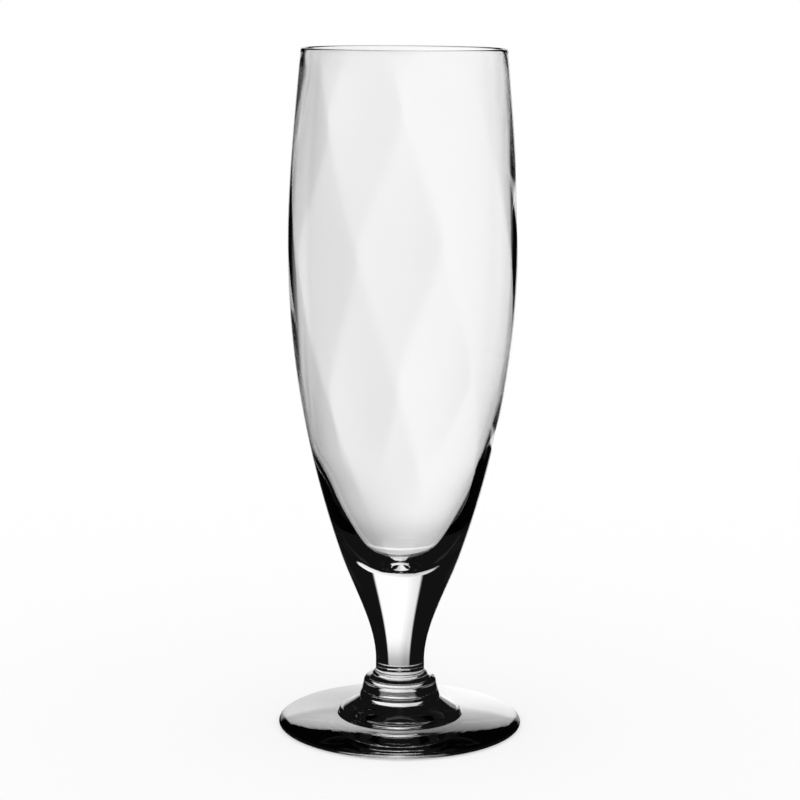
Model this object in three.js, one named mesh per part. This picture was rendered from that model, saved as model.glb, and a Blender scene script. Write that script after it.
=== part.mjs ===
// A footed beer glass that holds a third of a litre: a tall tulip bowl with swirled reeds
// inside, a short solid stem, a banded collar and a round foot with a stepped boss.
// Millimetres, +Z up. The origin is on the table, in the middle of the foot.

import * as THREE from "three";

// Heights, each measured from the face that the piece sits on
const bossHeight = 7.4; // table to the top of the foot's boss
const collarHeight = 7.3; // boss to the end of the stem
const stemHeight = 19.3; // collar to the bottom of the bowl's solid base
const bowlHeight = 166; // bottom of the solid base to the rim

// Bowl, outside
const rimRadius = 29.7;
const rimFlare = 0.09; // how fast the side opens below the rim, mm out per mm down
const bellyRadius = 33.4;
const bellyBelowRim = 57;
const taperRadius = 17.75;
const taperAboveStem = 17.9;
const taperSlope = 0.345; // mm out per mm up

// Bowl, inside. The wall grows from the belly down: shoulder, base, hip, solid floor.
const rimWall = 1.3;
const bellyWall = 1.05;
const shoulderWall = 1.2;
const shoulderAboveFloor = 37.1;
const shoulderSlope = 0.25;
const baseWall = 2.55;
const baseAboveFloor = 25.1;
const baseSlope = 0.41;
const hipWall = 5.05;
const hipAboveFloor = 11.2;
const hipSlope = 0.56;
const floorThickness = 14; // solid glass between the stem and the cavity
const floorRadius = 13.6; // round bottom of the cavity
const floorSlope = 1.23; // slope where the round bottom runs into the side

// Swirled reeds blown into the inside of the bowl, with a crease between each two
const reedCount = 8;
const reedDepth = 0.26;
const reedTurn = 0.55; // degrees of turn per mm down, to the right as the front is seen
const reedStart = -99; // degrees, place of one crease at the rim
const reedFadeTop = 7;
const reedFadeBottom = 26;
const creaseRound = 0.08; // softness of a crease, as a share of the wave

// Stem
const waistRadius = 7.25;
const waistAboveCollar = 4.3;
const lipRadius = 8.2;
const lipHeight = 0.4;
const lipUndercut = 0.13; // the lip draws in to its seat on the collar
const lipFillet = 1.7;

// Collar, from its top down
const seatWidth = 0.8; // top of the collar outside the lip
const topFall = 0.3;
const shoulderRound = 1.85;
const upperRingHeight = 2.1; // straight part below the rounded shoulder
const upperRingFlare = 0.55;
const grooveDepth = 0.4;
const grooveHeight = 0.55;
const beadBulge = 0.2;

// Foot, from the boss out: a flare, a rounded step, a thin disc, the edge
const bossRadius = 12;
const flareReach = 1; // the flare heads for a place this far out from the boss
const flareLift = 0.5; // and this far above the tread
const treadRadius = 16.6;
const stepReach = 2.2; // from the tread's end to the face of the step
const stepRise = 1.5;
const noseReach = 2;
const noseRise = 1.1;
const filletReach = 0.8;
const filletRise = 0.45;
const discHeight = 2.95; // top of the disc at the foot of the step
const crownInset = 5.8; // the disc curves down most this far in from its brow
const crownHeight = 2.33;
const footRadius = 36.2;
const edgeInset = 0.4;
const edgeHeight = 0.9;
const edgeLift = 0.1; // the edge stands this far clear of the table
const ringInset = 3.2; // standing ring, in from the edge of the foot
const ringWidth = 3;
const hollowDepth = 0.06; // rise of the underside in the middle

// Facets
const sides = 64;
const outsideSteps = 17;
const insideSteps = 22;
const insideCrowding = 1.6; // over 1, the rings inside lie closer together near the floor
const floorSteps = 7;
const roundSteps = 4;
const flareSteps = 6;
const hollowSteps = 3;

// Levels and radii that the pieces share
const bossTop = bossHeight;
const collarTop = bossTop + collarHeight;
const stemTop = collarTop + stemHeight;
const rimTop = stemTop + bowlHeight;
const floorLevel = stemTop + floorThickness;
const bellyLevel = rimTop - bellyBelowRim;
const rimRound = rimWall / 2;
const rimLevel = rimTop - rimRound; // where the round of the rim starts
const seatRadius = lipRadius - lipUndercut;

// A station is a height, a radius and a slope. The side between two stations is a smooth
// curve that keeps both slopes.
function radiusAt(stations, height) {
  const last = stations.length - 2;
  let i = 0;
  while (i < last && height > stations[i + 1].height) i += 1;
  const low = stations[i];
  const high = stations[i + 1];
  const span = high.height - low.height;
  const side = new THREE.CubicBezierCurve(
    new THREE.Vector2(low.radius, low.height),
    new THREE.Vector2(low.radius + (low.slope * span) / 3, low.height + span / 3),
    new THREE.Vector2(high.radius - (high.slope * span) / 3, high.height - span / 3),
    new THREE.Vector2(high.radius, high.height),
  );
  return side.getPoint((height - low.height) / span).x;
}

// Points of an arc about a centre, from one angle to another in degrees, both ends included
function arc(centreRadius, centreHeight, radius, from, to, steps = roundSteps) {
  const points = [];
  for (let i = 0; i <= steps; i += 1) {
    const angle = THREE.MathUtils.degToRad(THREE.MathUtils.lerp(from, to, i / steps));
    const out = centreRadius + radius * Math.cos(angle);
    const up = centreHeight + radius * Math.sin(angle);
    points.push(new THREE.Vector2(out, up));
  }
  return points;
}

// Points of a curve from a start to an end that heads for a place between them
function curve(start, handle, end, steps = roundSteps) {
  return new THREE.QuadraticBezierCurve(start, handle, end).getPoints(steps);
}

// Turns a profile about the axis. It runs from the axis at the bottom to the axis at the top.
function turned(points) {
  return new THREE.LatheGeometry(points, sides).rotateX(Math.PI / 2);
}

// One outline runs from the stem's waist to the rim, so the bowl and the stem meet flush.
const outline = [
  { height: collarTop + waistAboveCollar, radius: waistRadius, slope: 0 },
  { height: stemTop + taperAboveStem, radius: taperRadius, slope: taperSlope },
  { height: bellyLevel, radius: bellyRadius, slope: 0 },
  { height: rimLevel, radius: rimRadius, slope: -rimFlare },
];

// A station of the cavity that stands a wall's thickness in from the outline
function wallStation(aboveFloor, wall, slope) {
  const height = floorLevel + aboveFloor;
  return { height, radius: radiusAt(outline, height) - wall, slope };
}

// The cavity's side, from the edge of its round bottom to the rim
const floorTilt = Math.atan(floorSlope);
const cavity = [
  {
    height: floorLevel + floorRadius * (1 - Math.sin(floorTilt)),
    radius: floorRadius * Math.cos(floorTilt),
    slope: floorSlope,
  },
  wallStation(hipAboveFloor, hipWall, hipSlope),
  wallStation(baseAboveFloor, baseWall, baseSlope),
  wallStation(shoulderAboveFloor, shoulderWall, shoulderSlope),
  { height: bellyLevel, radius: bellyRadius - bellyWall, slope: 0 },
  { height: rimLevel, radius: rimRadius - rimWall, slope: -rimFlare },
];

// The place of the first crease at a height
function creaseAngle(height) {
  return THREE.MathUtils.degToRad(reedStart + reedTurn * (rimLevel - height));
}

// How far the rings inside turn so that corners lie on the creases: as the creases do, less
// the whole facets that the first crease is away from the start of a ring
function cornerTurn(height) {
  const facet = (2 * Math.PI) / sides;
  return creaseAngle(height) - facet * Math.round(creaseAngle(rimLevel) / facet);
}

// How far a reed stands in from the wall at an angle and a height. It fades out at the rim
// and towards the bottom of the cavity.
function reed(angle, height) {
  const fade =
    THREE.MathUtils.smoothstep(rimLevel - height, 0, reedFadeTop) *
    THREE.MathUtils.smoothstep(height - cavity[0].height, 0, reedFadeBottom);
  const wave = Math.sin((reedCount / 2) * (angle - creaseAngle(height)));
  return reedDepth * fade * (Math.hypot(wave, creaseRound) - creaseRound);
}

// A closed skin over rings of equal count between a bottom point and a top point. A ring
// has a height, a radius at each angle and a turn that moves its corners along.
function skin(bottom, rings, top) {
  const places = [0, 0, bottom];
  const faces = [];
  const first = (ring) => 1 + ring * sides;
  rings.forEach(({ height, radius, turn = 0 }) => {
    for (let i = 0; i < sides; i += 1) {
      const angle = turn + (2 * Math.PI * i) / sides;
      const out = radius(angle);
      places.push(out * Math.cos(angle), out * Math.sin(angle), height);
    }
  });
  places.push(0, 0, top);
  const end = first(rings.length);
  for (let i = 0; i < sides; i += 1) {
    const next = (i + 1) % sides;
    faces.push(0, first(0) + next, first(0) + i);
    for (let ring = 0; ring < rings.length - 1; ring += 1) {
      const low = first(ring);
      const high = first(ring + 1);
      faces.push(low + i, low + next, high + next);
      faces.push(low + i, high + next, high + i);
    }
    faces.push(end, first(rings.length - 1) + i, first(rings.length - 1) + next);
  }
  const geometry = new THREE.BufferGeometry();
  geometry.setAttribute("position", new THREE.Float32BufferAttribute(places, 3));
  geometry.setIndex(faces);
  geometry.computeVertexNormals();
  return geometry;
}

// The bowl with its solid base. The skin climbs the outside, rounds the rim and goes down
// the reeded inside to the bottom of the cavity. The rings inside turn with the swirl, so
// each crease runs along one line of corners.
function bowlGeometry() {
  const rings = [];
  for (let i = 0; i <= outsideSteps; i += 1) {
    const height = THREE.MathUtils.lerp(stemTop, rimLevel, i / outsideSteps);
    rings.push({ height, radius: () => radiusAt(outline, height) });
  }
  const rim = arc(rimRadius - rimRound, rimLevel, rimRound, 0, 180);
  rim.slice(1, -1).forEach((point) => {
    rings.push({ height: point.y, radius: () => point.x });
  });
  const sideBottom = cavity[0].height;
  for (let i = insideSteps; i >= 0; i -= 1) {
    const share = (i / insideSteps) ** insideCrowding;
    const height = THREE.MathUtils.lerp(sideBottom, rimLevel, share);
    rings.push({
      height,
      radius: (angle) => radiusAt(cavity, height) - reed(angle, height),
      turn: cornerTurn(height),
    });
  }
  const tilt = THREE.MathUtils.radToDeg(floorTilt);
  const floor = arc(0, floorLevel + floorRadius, floorRadius, -tilt, -90, floorSteps);
  floor.slice(1, -1).forEach((point) => {
    rings.push({ height: point.y, radius: () => point.x, turn: cornerTurn(sideBottom) });
  });
  return skin(stemTop, rings, floorLevel);
}

// The solid stem: a short lip where it was set on the collar, then the waist and the taper
function stemGeometry() {
  const filletFoot = collarTop + lipHeight;
  const points = [
    new THREE.Vector2(0, collarTop),
    new THREE.Vector2(seatRadius, collarTop),
    new THREE.Vector2(lipRadius, collarTop + lipHeight / 2),
  ];
  for (let i = 0; i <= roundSteps; i += 1) {
    const share = i / roundSteps;
    const spread = (lipRadius - waistRadius) * (1 - share) ** 2;
    points.push(new THREE.Vector2(waistRadius + spread, filletFoot + lipFillet * share));
  }
  const waistLevel = collarTop + waistAboveCollar;
  for (let i = 0; i <= flareSteps; i += 1) {
    const height = THREE.MathUtils.lerp(waistLevel, stemTop, i / flareSteps);
    points.push(new THREE.Vector2(radiusAt(outline, height), height));
  }
  points.push(new THREE.Vector2(0, stemTop));
  return turned(points);
}

// The collar: a hot band of glass squeezed to a round shoulder, a groove and a bead
function collarGeometry() {
  const topRadius = lipRadius + seatWidth;
  const ringRadius = topRadius + shoulderRound;
  const ringTop = collarTop - topFall - shoulderRound;
  const ringBottom = ringTop - upperRingHeight;
  const grooveBottom = ringBottom - grooveHeight;
  const bandRadius = ringRadius + upperRingFlare;
  const points = [new THREE.Vector2(0, bossTop), new THREE.Vector2(bossRadius, bossTop)];
  for (let i = 1; i < flareSteps; i += 1) {
    const share = i / flareSteps;
    const bulge = beadBulge * Math.sin(Math.PI * share);
    const radius = THREE.MathUtils.lerp(bossRadius, bandRadius, share) + bulge;
    points.push(new THREE.Vector2(radius, THREE.MathUtils.lerp(bossTop, grooveBottom, share)));
  }
  points.push(
    new THREE.Vector2(bandRadius, grooveBottom),
    new THREE.Vector2(bandRadius - grooveDepth, (grooveBottom + ringBottom) / 2),
    new THREE.Vector2(bandRadius, ringBottom),
    ...arc(topRadius, ringTop, shoulderRound, 0, 90),
    new THREE.Vector2(seatRadius, collarTop),
    new THREE.Vector2(0, collarTop),
  );
  return turned(points);
}

// The foot: a thin disc, domed towards its edge, with a stepped boss, on a flat ring round
// a slightly hollow underside
function footGeometry() {
  const ringOuterRadius = footRadius - ringInset;
  const ringInnerRadius = ringOuterRadius - ringWidth;
  const hollow = [];
  for (let i = 0; i <= hollowSteps; i += 1) {
    const share = i / hollowSteps;
    hollow.push(new THREE.Vector2(ringInnerRadius * share, hollowDepth * (1 - share ** 2)));
  }
  const toe = new THREE.Vector2(footRadius - edgeInset, edgeLift);
  const edge = new THREE.Vector2(footRadius + edgeInset, edgeHeight / 2);
  const brow = new THREE.Vector2(footRadius - edgeInset, edgeHeight);
  const crown = new THREE.Vector2(brow.x - crownInset, crownHeight);
  const step = new THREE.Vector2(treadRadius + stepReach, discHeight + filletRise);
  const disc = new THREE.Vector2(step.x + filletReach, discHeight);
  const tread = new THREE.Vector2(treadRadius, step.y + stepRise);
  const nose = new THREE.Vector2(treadRadius + noseReach, step.y + noseRise);
  const flare = new THREE.Vector2(bossRadius + flareReach, tread.y + flareLift);
  const boss = new THREE.Vector2(bossRadius, bossTop);
  return turned([
    ...hollow,
    new THREE.Vector2(ringOuterRadius, 0),
    ...curve(toe, edge, brow),
    ...curve(brow, crown, disc, flareSteps).slice(1),
    ...curve(disc, new THREE.Vector2(step.x, disc.y), step, roundSteps / 2).slice(1),
    ...curve(step, nose, tread).slice(1),
    ...curve(tread, flare, boss, flareSteps).slice(1),
    new THREE.Vector2(0, bossTop),
  ]);
}

function glass(name, geometry, tint) {
  const material = new THREE.MeshStandardMaterial({
    color: tint,
    roughness: 0.02,
    metalness: 0,
    transparent: true,
    opacity: 0.35,
  });
  const mesh = new THREE.Mesh(geometry, material);
  mesh.name = name;
  return mesh;
}

const beerGlass = new THREE.Group();
beerGlass.add(
  glass("bowl", bowlGeometry(), 0xf2f5f5),
  glass("stem", stemGeometry(), 0xeef2f2),
  glass("collar", collarGeometry(), 0xeaefef),
  glass("foot", footGeometry(), 0xedf1f1),
);

export default beerGlass;
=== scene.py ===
import math

import bpy
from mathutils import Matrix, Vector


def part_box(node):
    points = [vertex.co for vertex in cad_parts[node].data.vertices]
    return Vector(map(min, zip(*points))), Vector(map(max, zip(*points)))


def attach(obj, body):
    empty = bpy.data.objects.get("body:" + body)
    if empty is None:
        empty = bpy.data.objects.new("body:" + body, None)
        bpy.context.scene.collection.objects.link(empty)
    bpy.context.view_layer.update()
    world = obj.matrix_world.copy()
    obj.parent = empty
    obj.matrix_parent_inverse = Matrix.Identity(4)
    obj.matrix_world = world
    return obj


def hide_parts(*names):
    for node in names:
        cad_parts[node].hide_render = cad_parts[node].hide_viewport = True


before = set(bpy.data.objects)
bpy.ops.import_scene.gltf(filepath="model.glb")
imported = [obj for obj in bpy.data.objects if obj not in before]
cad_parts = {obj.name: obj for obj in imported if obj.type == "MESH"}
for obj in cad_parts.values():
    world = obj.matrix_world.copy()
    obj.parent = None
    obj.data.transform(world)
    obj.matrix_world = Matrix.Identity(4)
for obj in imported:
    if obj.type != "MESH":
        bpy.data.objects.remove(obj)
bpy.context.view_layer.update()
print("frame loaded:", ", ".join(sorted(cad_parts)))

mm = 0.001  # lengths below are in millimetres, and become metres in each mesh


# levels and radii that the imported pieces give, in millimetres
def topOf(node):
    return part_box(node)[1].z / mm


levels = {
    "bossTop": topOf("foot"),
    "collarTop": topOf("collar"),
    "stemTop": topOf("stem"),
    "rimTop": topOf("bowl"),
    "footRadius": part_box("foot")[1].x / mm,
}


# shapes

def sideRadius(stations, height):
    # each station is height, radius and slope, and the side between two keeps both slopes
    last = len(stations) - 2
    index = 0
    while index < last and height > stations[index + 1][0]:
        index += 1
    lowHeight, lowRadius, lowSlope = stations[index]
    highHeight, highRadius, highSlope = stations[index + 1]
    span = highHeight - lowHeight
    t = (height - lowHeight) / span
    return (
        (2 * t**3 - 3 * t**2 + 1) * lowRadius
        + (t**3 - 2 * t**2 + t) * span * lowSlope
        + (3 * t**2 - 2 * t**3) * highRadius
        + (t**3 - t**2) * span * highSlope
    )


def smoothStep(value, low, high):
    t = min(1.0, max(0.0, (value - low) / (high - low)))
    return t * t * (3 - 2 * t)


def lerp(a, b, t):
    return a + (b - a) * t


def arcPoints(centreRadius, centreHeight, radius, startAngle, endAngle, steps):
    points = []
    for step in range(steps + 1):
        angle = math.radians(lerp(startAngle, endAngle, step / steps))
        points.append((centreRadius + radius * math.cos(angle), centreHeight + radius * math.sin(angle)))
    return points


def curvePoints(start, handle, end, steps):
    # a curve that leaves start towards handle, and comes to end from it
    points = []
    for step in range(steps + 1):
        t = step / steps
        weights = ((1 - t) ** 2, 2 * t * (1 - t), t**2)
        pulls = list(zip(weights, (start, handle, end)))
        points.append(tuple(sum(w * p[axis] for w, p in pulls) for axis in (0, 1)))
    return points


def makeSkin(name, rings, sides, startPole=None, endPole=None):
    # a ring is a function of the angle that gives a radius and a height, and poles close the ends
    vertices = []
    for ring in rings:
        for side in range(sides):
            angle = 2 * math.pi * side / sides
            radius, height = ring(angle)
            vertices.append((radius * math.cos(angle) * mm, radius * math.sin(angle) * mm, height * mm))
    faces = []
    for row in range(len(rings) - 1):
        for side in range(sides):
            after = (side + 1) % sides
            low = row * sides
            high = low + sides
            faces.append((low + side, low + after, high + after, high + side))
    if startPole is not None:
        vertices.append((0, 0, startPole * mm))
        pole = len(vertices) - 1
        faces += [(pole, (side + 1) % sides, side) for side in range(sides)]
    if endPole is not None:
        vertices.append((0, 0, endPole * mm))
        pole = len(vertices) - 1
        first = (len(rings) - 1) * sides
        faces += [(pole, first + side, first + (side + 1) % sides) for side in range(sides)]
    mesh = bpy.data.meshes.new(name)
    mesh.from_pydata(vertices, [], faces)
    mesh.shade_smooth()
    mesh.update()
    piece = bpy.data.objects.new(name, mesh)
    bpy.context.scene.collection.objects.link(piece)
    return piece


def plainRing(point):
    return lambda angle: point


sides = 256  # round the axis

stem = {
    "waistRadius": 7.25,
    "waistAboveCollar": 4.3,
    "lipRadius": 8.2,
    "lipHeight": 0.4,
    "lipUndercut": 0.13,
    "lipFillet": 1.7,
    "steps": 60,
    "filletSteps": 12,
    "ringPitch": 0.7,
    "ringDepth": 0.0,  # fire-polished, with no tool rings
    "waveSize": 9,
    "waveDepth": 0.004,
}

bowl = {
    "rimRadius": 29.7,
    "rimFlare": 0.09,
    "bellyRadius": 33.4,
    "bellyBelowRim": 57,
    "taperRadius": 17.75,
    "taperAboveStem": 17.9,
    "taperSlope": 0.345,
    "rimWall": 1.3,
    "bellyWall": 1.05,
    "shoulderWall": 1.2,
    "shoulderAboveFloor": 37.1,
    "shoulderSlope": 0.25,
    "baseWall": 2.55,
    "baseAboveFloor": 25.1,
    "baseSlope": 0.41,
    "hipWall": 5.05,
    "hipAboveFloor": 11.2,
    "hipSlope": 0.56,
    "floorThickness": 14,
    "floorRadius": 13.6,
    "floorSlope": 1.23,
    "reedCount": 8,
    "reedDepth": 0.26,
    "reedTurn": 0.55,  # degrees for each millimetre down
    "reedStart": -99,
    "reedFadeTop": 7,
    "reedFloor": 14,
    "reedFadeBottom": 34,
    "creaseRound": 0.08,
    "outsideSteps": 110,
    "insideSteps": 130,
    "rimSteps": 10,
    "floorSteps": 24,
    "ringPitch": 1.5,
    "ringDepth": 0.0,  # fire-polished, with no tool rings
    "waveSize": 20,
    "waveDepth": 0.002,
}


# the side of the stem and the bowl is one line, so their edges meet at the seam
rimRound = bowl["rimWall"] / 2
bellyLevel = levels["rimTop"] - bowl["bellyBelowRim"]
outline = [
    (levels["collarTop"] + stem["waistAboveCollar"], stem["waistRadius"], 0),
    (levels["stemTop"] + bowl["taperAboveStem"], bowl["taperRadius"], bowl["taperSlope"]),
    (bellyLevel, bowl["bellyRadius"], 0),
    (levels["rimTop"] - rimRound, bowl["rimRadius"], -bowl["rimFlare"]),
]


def cavityStations():
    floorLevel = levels["stemTop"] + bowl["floorThickness"]
    tilt = math.atan(bowl["floorSlope"])
    hipLevel = floorLevel + bowl["hipAboveFloor"]
    baseLevel = floorLevel + bowl["baseAboveFloor"]
    shoulderLevel = floorLevel + bowl["shoulderAboveFloor"]
    return [
        (
            floorLevel + bowl["floorRadius"] * (1 - math.sin(tilt)),
            bowl["floorRadius"] * math.cos(tilt),
            bowl["floorSlope"],
        ),
        (hipLevel, sideRadius(outline, hipLevel) - bowl["hipWall"], bowl["hipSlope"]),
        (baseLevel, sideRadius(outline, baseLevel) - bowl["baseWall"], bowl["baseSlope"]),
        (shoulderLevel, sideRadius(outline, shoulderLevel) - bowl["shoulderWall"], bowl["shoulderSlope"]),
        (bellyLevel, bowl["bellyRadius"] - bowl["bellyWall"], 0),
        (levels["rimTop"] - rimRound, bowl["rimRadius"] - bowl["rimWall"], -bowl["rimFlare"]),
    ]


def makeBowl():
    cavity = cavityStations()
    floorLevel = levels["stemTop"] + bowl["floorThickness"]
    outsideTop = levels["rimTop"] - rimRound
    tilt = math.degrees(math.atan(bowl["floorSlope"]))

    def reed(angle, height):
        # broad reeds stand in from the wall, with a crease between each two
        below = outsideTop - height
        above = height - cavity[0][0]
        fade = smoothStep(below, 0, bowl["reedFadeTop"])
        fade *= smoothStep(above, bowl["reedFloor"], bowl["reedFadeBottom"])
        place = math.radians(bowl["reedStart"] + bowl["reedTurn"] * below)
        wave = math.sin(bowl["reedCount"] / 2 * (angle - place))
        return bowl["reedDepth"] * fade * (math.hypot(wave, bowl["creaseRound"]) - bowl["creaseRound"])

    def insideRing(height):
        radius = sideRadius(cavity, height)
        return lambda angle: (radius - reed(angle, height), height)

    rings = []
    for step in range(bowl["outsideSteps"] + 1):
        height = lerp(levels["stemTop"], outsideTop, step / bowl["outsideSteps"])
        rings.append(plainRing((sideRadius(outline, height), height)))
    rim = arcPoints(bowl["rimRadius"] - rimRound, outsideTop, rimRound, 0, 180, bowl["rimSteps"])
    rings += [plainRing(point) for point in rim[1:-1]]
    for step in range(bowl["insideSteps"] + 1):
        rings.append(insideRing(lerp(outsideTop, cavity[0][0], step / bowl["insideSteps"])))
    floorCentre = floorLevel + bowl["floorRadius"]
    floor = arcPoints(0, floorCentre, bowl["floorRadius"], -tilt, -90, bowl["floorSteps"])
    rings += [plainRing(point) for point in floor[1:-1]]
    return makeSkin("bowlGlass", rings, sides, endPole=floorLevel)


def makeStem():
    base = levels["collarTop"]
    filletFoot = base + stem["lipHeight"]
    points = [
        (stem["lipRadius"] - stem["lipUndercut"], base),
        (stem["lipRadius"], base + stem["lipHeight"] / 2),
    ]
    for step in range(stem["filletSteps"] + 1):
        share = step / stem["filletSteps"]
        spread = (stem["lipRadius"] - stem["waistRadius"]) * (1 - share) ** 2
        height = lerp(filletFoot, filletFoot + stem["lipFillet"], share)
        points.append((stem["waistRadius"] + spread, height))
    waistLevel = base + stem["waistAboveCollar"]
    for step in range(stem["steps"] + 1):
        height = lerp(waistLevel, levels["stemTop"], step / stem["steps"])
        points.append((sideRadius(outline, height), height))
    return makeSkin("stemGlass", [plainRing(point) for point in points], sides)


collar = {
    "seatWidth": 0.8,
    "topFall": 0.3,
    "shoulderRound": 1.85,
    "upperRingHeight": 2.1,
    "upperRingFlare": 0.55,
    "grooveDepth": 0.4,
    "grooveHeight": 0.55,
    "beadBulge": 0.2,
    "steps": 24,
    "roundSteps": 12,
    "ringPitch": 0.6,
    "ringDepth": 0.008,
    "waveSize": 4,
    "waveDepth": 0.01,
}


def makeCollar():
    top = levels["collarTop"]
    bottom = levels["bossTop"]
    topRadius = stem["lipRadius"] + collar["seatWidth"]
    ringRadius = topRadius + collar["shoulderRound"]
    ringTop = top - collar["topFall"] - collar["shoulderRound"]
    ringBottom = ringTop - collar["upperRingHeight"]
    bandRadius = ringRadius + collar["upperRingFlare"]
    grooveBottom = ringBottom - collar["grooveHeight"]
    points = [(foot["bossRadius"], bottom)]
    for step in range(1, collar["steps"] + 1):
        share = step / collar["steps"]
        bulge = collar["beadBulge"] * math.sin(math.pi * share)
        radius = lerp(foot["bossRadius"], bandRadius, share) + bulge
        points.append((radius, lerp(bottom, grooveBottom, share)))
    for step in range(collar["steps"] + 1):
        share = step / collar["steps"]
        depth = collar["grooveDepth"] * math.sin(math.pi * share) ** 2
        points.append((bandRadius - depth, lerp(grooveBottom, ringBottom, share)))
    points += arcPoints(topRadius, ringTop, collar["shoulderRound"], 0, 90, collar["roundSteps"])
    points.append((stem["lipRadius"] - stem["lipUndercut"], top))
    return makeSkin("collarGlass", [plainRing(point) for point in points], sides)


foot = {
    "bossRadius": 12,
    "flareReach": 2.3,  # the flare under the collar heads for a place this far out
    "flareLift": 1.2,  # and this far above the tread
    "treadRadius": 17.0,
    "stepReach": 1.3,
    "stepRise": 1.0,
    "noseReach": 1.3,
    "noseRise": 0.8,
    "filletReach": 0.8,
    "filletRise": 0.45,
    "discHeight": 2.95,
    "crownInset": 5.8,
    "crownHeight": 2.33,
    "edgeInset": 0.4,
    "edgeHeight": 0.9,
    "edgeLift": 0.1,
    "ringInset": 3.2,
    "ringWidth": 3,
    "hollowDepth": 0.06,
    "steps": 40,
    "edgeSteps": 10,
    "filletSteps": 8,
    "noseSteps": 16,
    "ringPitch": 1.1,
    "ringDepth": 0.004,
    "waveSize": 8,
    "waveDepth": 0.006,
}


def makeFoot():
    steps = foot["steps"]
    rim = levels["footRadius"]
    ringOuter = rim - foot["ringInset"]
    ringInner = ringOuter - foot["ringWidth"]
    brow = (rim - foot["edgeInset"], foot["edgeHeight"])
    crown = (brow[0] - foot["crownInset"], foot["crownHeight"])
    step = (foot["treadRadius"] + foot["stepReach"], foot["discHeight"] + foot["filletRise"])
    disc = (step[0] + foot["filletReach"], foot["discHeight"])
    tread = (foot["treadRadius"], step[1] + foot["stepRise"])
    nose = (foot["treadRadius"] + foot["noseReach"], step[1] + foot["noseRise"])
    flare = (foot["bossRadius"] + foot["flareReach"], tread[1] + foot["flareLift"])
    points = []
    for index in range(1, steps + 1):
        share = index / steps
        points.append((ringInner * share, foot["hollowDepth"] * (1 - share**2)))
    points.append((ringOuter, 0))
    lowEdge = (brow[0], foot["edgeLift"])
    outerEdge = (rim + foot["edgeInset"], brow[1] / 2)
    points += curvePoints(lowEdge, outerEdge, brow, foot["edgeSteps"])
    points += curvePoints(brow, crown, disc, steps)[1:]
    points += curvePoints(disc, (step[0], disc[1]), step, foot["filletSteps"])[1:]
    points += curvePoints(step, nose, tread, foot["noseSteps"])[1:]
    points += curvePoints(tread, flare, (foot["bossRadius"], levels["bossTop"]), steps)[1:]
    rings = [plainRing(point) for point in points]
    return makeSkin("footGlass", rings, sides, startPole=foot["hollowDepth"])


# finishes

def addNode(tree, kind, settings=None, **inputs):
    node = tree.nodes.new(kind)
    for key, value in (settings or {}).items():
        setattr(node, key, value)
    for key, value in inputs.items():
        byPlace = key.startswith("in") and key[2:].isdigit()  # in0 is the first socket
        socket = node.inputs[int(key[2:])] if byPlace else node.inputs[key]
        if isinstance(value, bpy.types.NodeSocket):
            tree.links.new(value, socket)
        else:
            socket.default_value = value
    return node


def calc(tree, operation, *values):
    inputs = {f"in{index}": value for index, value in enumerate(values)}
    return addNode(tree, "ShaderNodeMath", {"operation": operation}, **inputs).outputs[0]


toolMarks = {
    "ringDrift": 90,  # how much the rings change round the glass, for each metre
    "ringDetail": 2,
}


def makeHandFinish():
    # the marks of the work on hot glass: fine rings from the tools, and a slow wave from the fire
    group = bpy.data.node_groups.new("handFinish", "ShaderNodeTree")
    for label in ("Ring Pitch", "Ring Depth", "Wave Size", "Wave Depth"):
        group.interface.new_socket(label, in_out="INPUT", socket_type="NodeSocketFloat")
    group.interface.new_socket("Height", in_out="OUTPUT", socket_type="NodeSocketFloat")
    given = group.nodes.new("NodeGroupInput").outputs
    place = addNode(group, "ShaderNodeTexCoord").outputs["Object"]
    parts = addNode(group, "ShaderNodeSeparateXYZ", Vector=place).outputs
    flat = addNode(group, "ShaderNodeCombineXYZ", X=parts["X"], Y=parts["Y"]).outputs[0]
    radius = addNode(group, "ShaderNodeVectorMath", {"operation": "LENGTH"}, in0=flat).outputs["Value"]
    along = calc(group, "DIVIDE", calc(group, "ADD", parts["Z"], radius), given["Ring Pitch"])
    scale = toolMarks["ringDrift"]
    drift = addNode(group, "ShaderNodeVectorMath", {"operation": "SCALE"}, in0=flat, Scale=scale).outputs[0]
    turned = addNode(group, "ShaderNodeSeparateXYZ", Vector=drift).outputs
    track = addNode(group, "ShaderNodeCombineXYZ", X=turned["X"], Y=turned["Y"], Z=along).outputs[0]
    detail = toolMarks["ringDetail"]
    rings = addNode(group, "ShaderNodeTexNoise", Vector=track, Scale=1.0, Detail=detail).outputs[0]
    size = given["Wave Size"]
    wide = addNode(group, "ShaderNodeVectorMath", {"operation": "DIVIDE"}, in0=place, in1=size).outputs[0]
    waves = addNode(group, "ShaderNodeTexNoise", Vector=wide, Scale=1.0, Detail=0.0).outputs[0]
    ringHeight = calc(group, "MULTIPLY", rings, given["Ring Depth"])
    height = calc(group, "MULTIPLY_ADD", waves, given["Wave Depth"], ringHeight)
    result = group.nodes.new("NodeGroupOutput")
    group.links.new(height, result.inputs["Height"])
    return group


handFinish = makeHandFinish()


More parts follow.
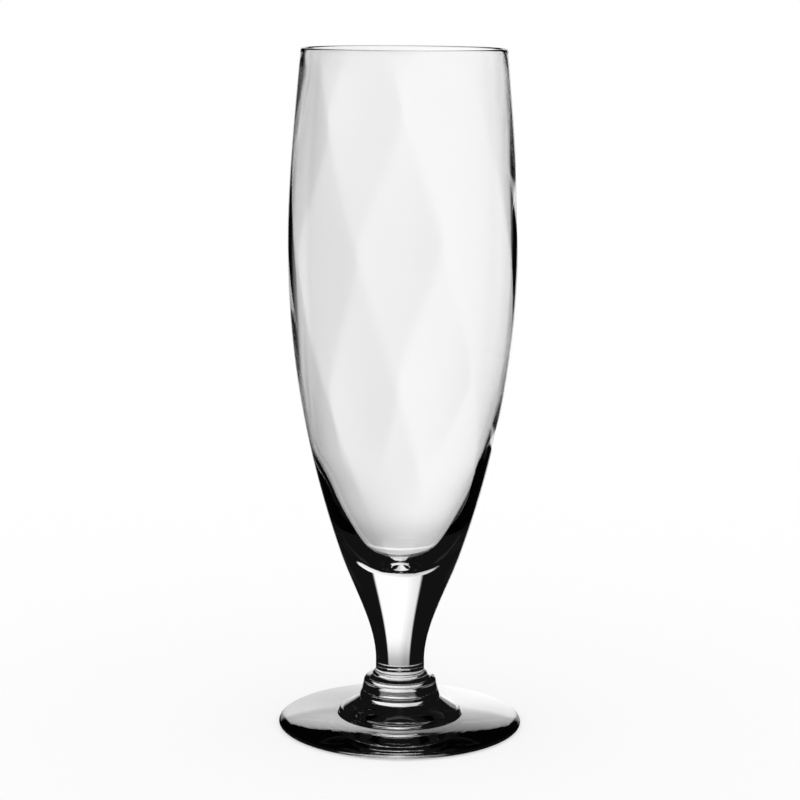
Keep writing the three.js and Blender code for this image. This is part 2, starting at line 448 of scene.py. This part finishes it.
def makeGlass(name, values):
    material = bpy.data.materials.new(name)
    material.use_nodes = True
    tree = material.node_tree
    shader = tree.nodes["Principled BSDF"]
    shader.inputs["Base Color"].default_value = (1, 1, 1, 1)
    shader.inputs["Roughness"].default_value = 0
    shader.inputs["IOR"].default_value = 1.5
    shader.inputs["Transmission Weight"].default_value = 1
    finish = addNode(tree, "ShaderNodeGroup", {"node_tree": handFinish})
    finish.inputs["Ring Pitch"].default_value = values["ringPitch"] * mm
    finish.inputs["Ring Depth"].default_value = values["ringDepth"] * mm
    finish.inputs["Wave Size"].default_value = values["waveSize"] * mm
    finish.inputs["Wave Depth"].default_value = values["waveDepth"] * mm
    bump = addNode(tree, "ShaderNodeBump", Strength=1.0, Distance=1.0, Height=finish.outputs["Height"])
    tree.links.new(bump.outputs["Normal"], shader.inputs["Normal"])
    return material


# studio

cameraRig = {
    "distance": 0.6611,  # from the glass's axis, in metres
    "height": 0.2162,
    "side": -0.00056,
    "pitch": 0.1771,  # radians below level
    "roll": 0.007,
    "focalPixels": 2290,
    "framePixels": 800,
    "sensor": 36,
    "clipNear": 0.01,
    "clipFar": 20,
}


def makeCamera():
    data = bpy.data.cameras.new("studioCamera")
    data.sensor_width = cameraRig["sensor"]
    data.lens = cameraRig["sensor"] * cameraRig["focalPixels"] / cameraRig["framePixels"]
    data.clip_start = cameraRig["clipNear"]
    data.clip_end = cameraRig["clipFar"]
    camera = bpy.data.objects.new("studioCamera", data)
    bpy.context.scene.collection.objects.link(camera)
    camera.location = (cameraRig["side"], -cameraRig["distance"], cameraRig["height"])
    camera.rotation_euler = (math.pi / 2 - cameraRig["pitch"], 0, 0)
    camera.rotation_euler.rotate_axis("Z", cameraRig["roll"])
    bpy.context.scene.camera = camera


studio = {
    # angles are in degrees: turns run to the right from straight behind the glass, and elevations up
    "turn": 2.5,
    "panelHalfAngle": 18,
    "panelTop": 16.5,
    "edgeSoftness": 1.5,
    # through both walls of the bowl
    "wideTurn": 5,
    "wideHalfAngle": 29,
    "diagonalHalfAngle": 8,
    "sweepFrom": -20,  # lower than this the pale sweep shows all round
    "sweepTo": -14,
    "fadeFrom": -20,  # the sweep fades from here
    "fadeTo": -42,
    "fadeLevel": 0.68,
    "tableFrom": -50,  # steeper than this the white table shows
    "tableSoftness": 3,
    # edge on through one wall
    "ceilingFrom": 25,
    "ceilingTo": 35,
    # through the solid base, the stem and the foot
    "coreHalfAngle": 10,
    "solidFadeFrom": 1,
    "solidFadeTo": -20,
    "solidFadeLevel": 0.4,
    # after a reflection inside the glass or on it
    "reflectedTop": 8,
    "reflectedFrom": -24,
    "reflectedTo": -32,
    "mirrorLevel": 0.85,  # of the back panel, as the table under the foot mirrors it
    "sideHalfAngle": 8,
    "sideFrom": -8,
    "sideTo": -2,
    "sideLevel": 0.02,
    "bowlSideFrom": 40,  # between these turns the outside of the bowl reflects the sweep
    "bowlSideTo": 72,
    "bowlSideSoftness": 6,
    "bowlSweepFrom": -22,
    "bowlSweepTo": -14,
    # the tone of all of it
    "leftTone": 0.79,
    "rightTone": 1.09,
    "toneFrom": -0.5,
    "toneTo": 0.16,
    "toneLift": 1.7,  # how much more of it is white higher up
    "toneLiftFrom": -6,
    "dark": 0.006,
    # the floor, and the patch of table under the foot with its painted light and painted shade, with
    # lengths in millimetres
    "floorRadius": 4000,
    "floorDrop": 0.2,
    "shadowLoss": 0.5,  # how much of its shadow the floor loses
    "patchDrop": 0.1,
    "patchSides": 96,
    # painted light and painted shade of the glowing table patch: its darker and paler levels, and its
    # darker front
    "patchLeft": 0.5,
    "patchRight": 1.0,
    "patchFront": 0.7,
    "patchFrontDepth": 26,
    # the clear skins that light is counted at
    "guardRadius": 38,
    "guardGap": 0.6,
    "guardLow": 0.2,
    "guardHeight": 75,
    "guardSides": 48,
    "lidRadius": 29.2,
    "lidHole": 0.01,
    "lidGap": 0.2,
    # counts of crossings and reflections that tell the ways of a look apart
    "anyCount": 0.5,
    "bothWallsCount": 3.5,
    "bothSleevesCount": 1.5,
    "lidCount": 1.0,
    "countSlack": 0.25,
    # light paths
    "bounces": 12,
    "glossyBounces": 8,
}


def ramp(tree, value, low, high, start=0.0, end=1.0, kind="SMOOTHSTEP"):
    # from start at low to end at high, and level outside them
    node = addNode(tree, "ShaderNodeMapRange", {"interpolation_type": kind}, Value=value, in1=low, in2=high)
    node.inputs[3].default_value = start
    node.inputs[4].default_value = end
    return node.outputs[0]


def angleRamp(tree, angle, low, high, start=0.0, end=1.0):
    # the same for an angle, with low and high in degrees
    return ramp(tree, angle, math.radians(low), math.radians(high), start, end)


def edge(tree, angle, place, softness):
    # 1 below place and 0 above it, both in degrees
    return angleRamp(tree, angle, place - softness, place + softness, 1.0, 0.0)


def pick(tree, factor, without, within):
    return addNode(tree, "ShaderNodeMix", Factor=factor, A=without, B=within).outputs[0]


def makeWorld():
    world = bpy.data.worlds.new("studioWorld")
    bpy.context.scene.world = world
    world.cycles.sampling_method = "NONE"
    world.use_nodes = True
    tree = world.node_tree
    tree.nodes.clear()
    soft = studio["edgeSoftness"]
    path = addNode(tree, "ShaderNodeLightPath").outputs
    direction = addNode(tree, "ShaderNodeTexCoord").outputs["Generated"]
    parts = addNode(tree, "ShaderNodeSeparateXYZ", Vector=direction).outputs
    azimuth = calc(tree, "ARCTAN2", parts["X"], parts["Y"])
    elevation = calc(tree, "ARCSINE", parts["Z"])
    turned = calc(tree, "ABSOLUTE", calc(tree, "SUBTRACT", azimuth, math.radians(studio["turn"])))
    cornerAngle = math.radians(45)  # from the middle of a panel to the corner between two
    toQuarter = calc(tree, "PINGPONG", turned, cornerAngle)
    wideTurned = calc(tree, "ABSOLUTE", calc(tree, "SUBTRACT", azimuth, math.radians(studio["wideTurn"])))
    toWide = calc(tree, "PINGPONG", wideTurned, cornerAngle)
    toDiagonal = calc(tree, "SUBTRACT", cornerAngle, toQuarter)

    # four panels, one behind the glass from each side, pale grey at their left and white at their right
    higher = calc(tree, "SUBTRACT", elevation, math.radians(studio["toneLiftFrom"]))
    lift = calc(tree, "MAXIMUM", higher, 0.0)
    swing = calc(tree, "SINE", calc(tree, "MULTIPLY", azimuth, 4.0))
    lean = calc(tree, "MULTIPLY_ADD", lift, studio["toneLift"], swing)
    ends = (studio["toneFrom"], studio["toneTo"], studio["leftTone"], studio["rightTone"])
    tone = ramp(tree, lean, *ends, kind="LINEAR")
    below = edge(tree, elevation, studio["panelTop"], soft)
    fade = angleRamp(tree, elevation, studio["fadeTo"], studio["fadeFrom"], studio["fadeLevel"])
    sweep = calc(tree, "MULTIPLY", below, fade)
    allRound = angleRamp(tree, elevation, studio["sweepFrom"], studio["sweepTo"], 1.0, 0.0)
    table = edge(tree, elevation, studio["tableFrom"], studio["tableSoftness"])
    behind = edge(tree, turned, studio["panelHalfAngle"], soft)

    # what is seen through both walls: the panels and their corners, and the whole sweep from above
    quarters = edge(tree, toWide, studio["wideHalfAngle"], soft)
    corners = edge(tree, toDiagonal, studio["diagonalHalfAngle"], soft)
    pairs = calc(tree, "MAXIMUM", calc(tree, "MAXIMUM", quarters, corners), allRound)
    throughBoth = calc(tree, "MAXIMUM", calc(tree, "MULTIPLY", pairs, sweep), table)

    # what is seen over the rim, through the far wall alone
    throughRim = calc(tree, "MAXIMUM", sweep, table)

    # what is seen edge on through a wall: the panels at the front and the back, and the ceiling
    toHalf = calc(tree, "PINGPONG", turned, 2 * cornerAngle)
    halves = edge(tree, toHalf, studio["panelHalfAngle"], soft)
    ceiling = angleRamp(tree, elevation, studio["ceilingFrom"], studio["ceilingTo"])
    lowHalves = calc(tree, "MULTIPLY", calc(tree, "MAXIMUM", halves, allRound), below)
    throughEdge = calc(tree, "MAXIMUM", lowHalves, ceiling)

    # what is seen through the solid glass of the base, the stem and the foot
    ends = (studio["solidFadeTo"], studio["solidFadeFrom"], studio["solidFadeLevel"])
    solidFade = angleRamp(tree, elevation, *ends)
    core = calc(tree, "MAXIMUM", behind, edge(tree, toQuarter, studio["coreHalfAngle"], soft))
    throughSolid = calc(tree, "MULTIPLY", calc(tree, "MULTIPLY", core, below), solidFade)

    # the walls and the clear skins that a look has crossed say which of these it sees
    bothWalls = calc(tree, "GREATER_THAN", path["Transmission Depth"], studio["bothWallsCount"])
    sleeves = calc(tree, "GREATER_THAN", path["Transparent Depth"], studio["bothSleevesCount"])
    lid = calc(tree, "COMPARE", path["Transparent Depth"], studio["lidCount"], studio["countSlack"])
    oneWall = pick(tree, lid, throughEdge, throughRim)
    oneOrSolid = pick(tree, sleeves, oneWall, throughSolid)
    straight = pick(tree, bothWalls, oneOrSolid, throughBoth)

    # what is seen after a reflection: the back panel and its image in the table, and the others dimly
    ends = (studio["reflectedTo"], studio["reflectedFrom"], studio["mirrorLevel"])
    back = calc(tree, "MULTIPLY", behind, angleRamp(tree, elevation, *ends))
    level = angleRamp(tree, elevation, studio["sideFrom"], studio["sideTo"], 0.0, studio["sideLevel"])
    side = calc(tree, "MULTIPLY", edge(tree, toQuarter, studio["sideHalfAngle"], soft), level)
    outside = calc(tree, "LESS_THAN", path["Transmission Depth"], studio["anyCount"])
    top = pick(tree, outside, edge(tree, elevation, studio["reflectedTop"], soft), below)
    panels = calc(tree, "MULTIPLY", calc(tree, "MAXIMUM", back, side), top)

    # the outside of the bowl also reflects the sweep to both sides
    innerEdge = edge(tree, turned, studio["bowlSideFrom"], studio["bowlSideSoftness"])
    outerEdge = edge(tree, turned, studio["bowlSideTo"], studio["bowlSideSoftness"])
    bowlSides = calc(tree, "SUBTRACT", outerEdge, innerEdge)
    bowlLow = angleRamp(tree, elevation, studio["bowlSweepFrom"], studio["bowlSweepTo"])
    bowlSweep = calc(tree, "MULTIPLY", bowlSides, calc(tree, "MULTIPLY", below, bowlLow))
    fromBowl = calc(tree, "MULTIPLY", outside, calc(tree, "SUBTRACT", 1.0, sleeves))
    reflected = calc(tree, "MAXIMUM", panels, calc(tree, "MULTIPLY", bowlSweep, fromBowl))

    bounced = calc(tree, "GREATER_THAN", path["Glossy Depth"], studio["anyCount"])
    seen = calc(tree, "MULTIPLY", tone, pick(tree, bounced, straight, reflected))
    lit = calc(tree, "MAXIMUM", seen, studio["dark"])
    plain = calc(tree, "MAXIMUM", path["Is Camera Ray"], path["Is Diffuse Ray"])
    strength = pick(tree, plain, lit, 1.0)
    background = addNode(tree, "ShaderNodeBackground", Color=(1, 1, 1, 1), Strength=strength)
    output = addNode(tree, "ShaderNodeOutputWorld")
    tree.links.new(background.outputs[0], output.inputs["Surface"])


def makeStage(name, points, faces):
    # an object of the stage, with an empty material
    mesh = bpy.data.meshes.new(name)
    mesh.from_pydata([(x * mm, y * mm, z * mm) for x, y, z in points], [], faces)
    piece = bpy.data.objects.new(name, mesh)
    bpy.context.scene.collection.objects.link(piece)
    material = bpy.data.materials.new(name)
    material.use_nodes = True
    material.node_tree.nodes.clear()
    mesh.materials.append(material)
    return piece, material.node_tree


def setSurface(tree, shader):
    output = addNode(tree, "ShaderNodeOutputMaterial")
    tree.links.new(shader.outputs[0], output.inputs["Surface"])


def makePlane(name, radius, height, corners):
    # a flat round or square sheet
    points = []
    for corner in range(corners):
        angle = 2 * math.pi * (corner + 0.5) / corners
        points.append((radius * math.cos(angle), radius * math.sin(angle), height))
    return makeStage(name, points, [tuple(range(corners))])


def makeGuard(name, start, end):
    # a clear skin round the axis: light isn't changed by it, and only counts that it crossed it
    corners = studio["guardSides"]
    points = []
    for radius, height in (start, end):
        for corner in range(corners):
            angle = 2 * math.pi * corner / corners
            points.append((radius * math.cos(angle), radius * math.sin(angle), height))
    faces = [(c, (c + 1) % corners, corners + (c + 1) % corners, corners + c) for c in range(corners)]
    guard, tree = makeStage(name, points, faces)
    setSurface(tree, addNode(tree, "ShaderNodeBsdfTransparent", Color=(1, 1, 1, 1)))
    guard.visible_diffuse = False
    guard.visible_shadow = False
    return guard


def makeGuards():
    # two sleeves round the stem: light that crosses both comes from the solid glass
    for name, gap in (("innerGuard", 0), ("outerGuard", studio["guardGap"])):
        radius = studio["guardRadius"] + gap
        sleeve = makeGuard(name, (radius, studio["guardLow"]), (radius, studio["guardHeight"]))
        sleeve.visible_camera = False

    # a lid over the rim: a look that crosses it passes only the far wall of the bowl
    lidHeight = levels["rimTop"] + studio["lidGap"]
    lid = makeGuard("lidGuard", (studio["lidHole"], lidHeight), (studio["lidRadius"], lidHeight))
    lid.visible_transmission = False
    lid.visible_glossy = False


def makeFloor():
    floor, tree = makePlane("studioFloor", studio["floorRadius"], -studio["floorDrop"], 4)
    diffuse = addNode(tree, "ShaderNodeBsdfDiffuse", Color=(1, 1, 1, 1)).outputs[0]
    white = addNode(tree, "ShaderNodeEmission", Color=(1, 1, 1, 1), Strength=1.0).outputs[0]
    setSurface(tree, addNode(tree, "ShaderNodeMixShader", Fac=studio["shadowLoss"], in1=diffuse, in2=white))
    floor.visible_transmission = False
    floor.visible_glossy = False

    # the table under the foot, as it is seen through the glass: a glowing patch of painted light and
    # painted shade, paler in two opposite quarters, darker in the other two and darker towards the front,
    # and clear for what is reflected
    patch, tree = makePlane("tablePatch", levels["footRadius"], -studio["patchDrop"], studio["patchSides"])
    path = addNode(tree, "ShaderNodeLightPath").outputs
    bounced = calc(tree, "GREATER_THAN", path["Glossy Depth"], studio["anyCount"])
    position = addNode(tree, "ShaderNodeNewGeometry").outputs["Position"]
    parts = addNode(tree, "ShaderNodeSeparateXYZ", Vector=position).outputs
    azimuth = calc(tree, "ARCTAN2", parts["X"], parts["Y"])
    # painted shade and painted light: darker in two opposite quarters and towards the front, paler in the
    # other two
    lean = calc(tree, "SINE", calc(tree, "MULTIPLY", azimuth, 2.0))
    tone = ramp(tree, lean, -1.0, 1.0, studio["patchLeft"], studio["patchRight"], kind="LINEAR")
    depth = ramp(tree, parts["Y"], -studio["patchFrontDepth"] * mm, 0.0, studio["patchFront"])
    seen = calc(tree, "MULTIPLY", tone, depth)
    pale = addNode(tree, "ShaderNodeEmission", Color=(1, 1, 1, 1), Strength=seen).outputs[0]
    clear = addNode(tree, "ShaderNodeBsdfTransparent", Color=(1, 1, 1, 1)).outputs[0]
    setSurface(tree, addNode(tree, "ShaderNodeMixShader", Fac=bounced, in1=pale, in2=clear))
    patch.visible_camera = False
    patch.visible_diffuse = False
    patch.visible_glossy = False
    patch.visible_shadow = False


makeCamera()
makeWorld()
makeFloor()
makeGuards()
print("studio made")

made = (
    ("bowl", makeBowl, bowl),
    ("stem", makeStem, stem),
    ("collar", makeCollar, collar),
    ("foot", makeFoot, foot),
)
for node, make, values in made:
    piece = make()
    piece.data.materials.append(makeGlass(node + "Glass", values))
    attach(piece, "root")
    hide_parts(node)
    print(piece.name, "has", len(piece.data.polygons), "faces")

scene = bpy.context.scene
scene.view_settings.view_transform = "Standard"
scene.cycles.max_bounces = studio["bounces"]
scene.cycles.transmission_bounces = studio["bounces"]
scene.cycles.glossy_bounces = studio["glossyBounces"]
